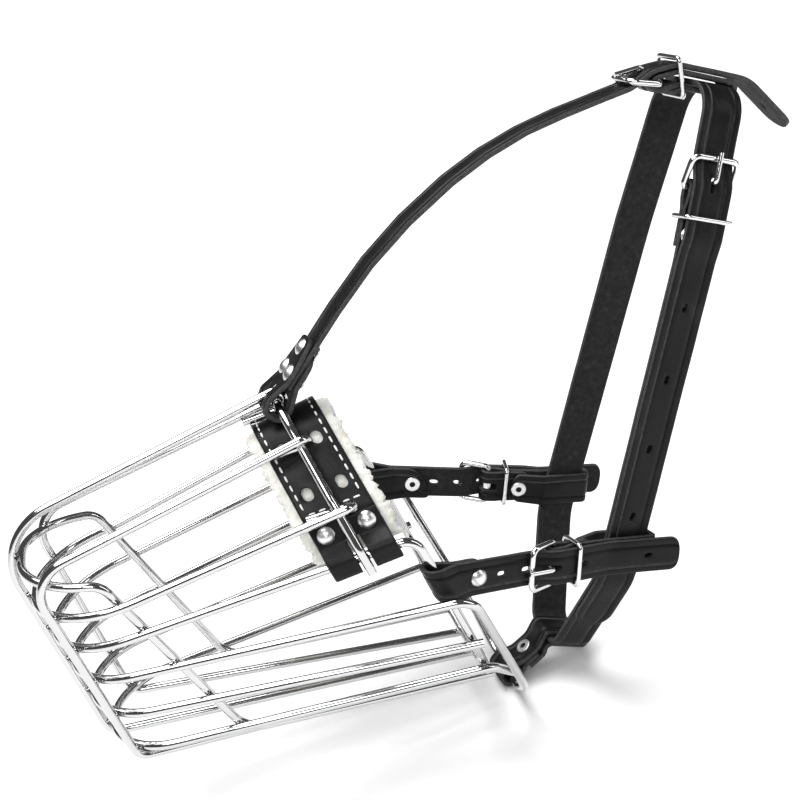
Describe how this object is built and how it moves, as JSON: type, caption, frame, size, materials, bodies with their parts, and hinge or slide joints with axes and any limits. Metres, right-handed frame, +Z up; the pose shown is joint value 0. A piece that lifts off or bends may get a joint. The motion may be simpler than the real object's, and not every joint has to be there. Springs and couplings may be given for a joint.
{
  "type": "basket muzzle",
  "caption": "Welded wire basket muzzle for a dog, with a padded nose arch and leather forehead, cheek, throat and collar straps that buckle and slide through wire keepers.",
  "frame": {"origin": "middle of the basket's rear opening, halfway between the ends of the middle wire at the top and at the bottom", "axes": "+X to the rear, away from the nose; +Z up; the dog's left side is -Y"},
  "size_m": [0.3323, 0.1162, 0.2398],
  "materials": {
    "basket_wire": "bright chrome-plated steel wire",
    "strap_leather": "black grained harness leather with pressed edge lines",
    "pad_felt": "dense off-white wool felt",
    "rivet_metal": "nickel-plated tubular rivets",
    "buckle_metal": "nickel-plated buckle wire"
  },
  "bodies": {
    "basket": {"centre_wire": "basket_wire", "left_front_wire": "basket_wire", "right_front_wire": "basket_wire", "top_hoop_wire": "basket_wire", "upper_hoop_wire": "basket_wire", "middle_hoop_wire": "basket_wire", "lower_hoop_wire": "basket_wire", "bottom_hoop_wire": "basket_wire", "snout_band_wire": "basket_wire", "nose_arch_wire": "basket_wire", "nose_pad_leather": "strap_leather", "nose_pad_felt": "pad_felt", "nose_pad_rivets": "rivet_metal", "forehead_tab": "strap_leather", "forehead_tab_rivets": "rivet_metal"},
    "harness": {"forehead_strap": "strap_leather", "throat_strap": "strap_leather", "throat_rivet": "rivet_metal", "crown_loop_strap": "strap_leather", "crown_buckle_frame": "buckle_metal", "collar_strap": "strap_leather", "collar_buckle_frame": "buckle_metal", "collar_rivets": "rivet_metal", "left_cheek_strap": "strap_leather", "right_cheek_strap": "strap_leather", "left_cheek_loop_strap": "strap_leather", "right_cheek_loop_strap": "strap_leather", "left_cheek_buckle_frame": "buckle_metal", "right_cheek_buckle_frame": "buckle_metal", "left_cheek_rim_rivet": "rivet_metal", "right_cheek_rim_rivet": "rivet_metal", "left_cheek_loop_rivet": "rivet_metal", "right_cheek_loop_rivet": "rivet_metal"},
    "crown_tongue": {"crown_buckle_tongue": "buckle_metal"},
    "collar_tongue": {"collar_buckle_tongue": "buckle_metal"},
    "left_tongue": {"left_cheek_buckle_tongue": "buckle_metal"},
    "right_tongue": {"right_cheek_buckle_tongue": "buckle_metal"},
    "crown_keeper": {"crown_keeper": "buckle_metal"},
    "collar_keeper": {"collar_keeper": "buckle_metal"},
    "left_keeper": {"left_cheek_keeper": "buckle_metal"},
    "right_keeper": {"right_cheek_keeper": "buckle_metal"}
  },
  "joints": [
    {"name": "harness_swing", "type": "hinge", "parent": "basket", "child": "harness", "pos_m": [0.0121, 0, -0.002], "axis": [0, 1, 0], "range_deg": [-3, 0], "deforming": ["forehead_strap", "throat_strap"]},
    {"name": "crown_tongue_lift", "type": "hinge", "parent": "harness", "child": "crown_tongue", "pos_m": [0.14233, 0, 0.14348], "axis": [0, 1, 0], "range_deg": [0, 18]},
    {"name": "collar_tongue_lift", "type": "hinge", "parent": "harness", "child": "collar_tongue", "pos_m": [0.14694, -0.02285, 0.10439], "axis": [0.9092, 0, -0.4163], "range_deg": [0, 18]},
    {"name": "left_tongue_lift", "type": "hinge", "parent": "harness", "child": "left_tongue", "pos_m": [0.05735, -0.03828, -0.01536], "axis": [0.2731, 0.0533, 0.9605], "range_deg": [0, 18]},
    {"name": "right_tongue_lift", "type": "hinge", "parent": "harness", "child": "right_tongue", "pos_m": [0.05716, 0.03725, -0.0153], "axis": [-0.2706, 0.0592, -0.9609], "range_deg": [0, 18]},
    {"name": "crown_keeper_slide", "type": "slide", "parent": "harness", "child": "crown_keeper", "axis": [-1, 0, 0], "range_m": [-0.0005, 0.0008]},
    {"name": "collar_keeper_slide", "type": "slide", "parent": "harness", "child": "collar_keeper", "axis": [0.4126, 0.1323, 0.9012], "range_m": [-0.002, 0.002]},
    {"name": "left_keeper_slide", "type": "slide", "parent": "harness", "child": "left_keeper", "axis": [-0.9428, -0.1838, 0.2782], "range_m": [-0.0008, 0.0008]},
    {"name": "right_keeper_slide", "type": "slide", "parent": "harness", "child": "right_keeper", "axis": [-0.9387, 0.2053, 0.277], "range_m": [-0.0008, 0.0008]}
  ]
}
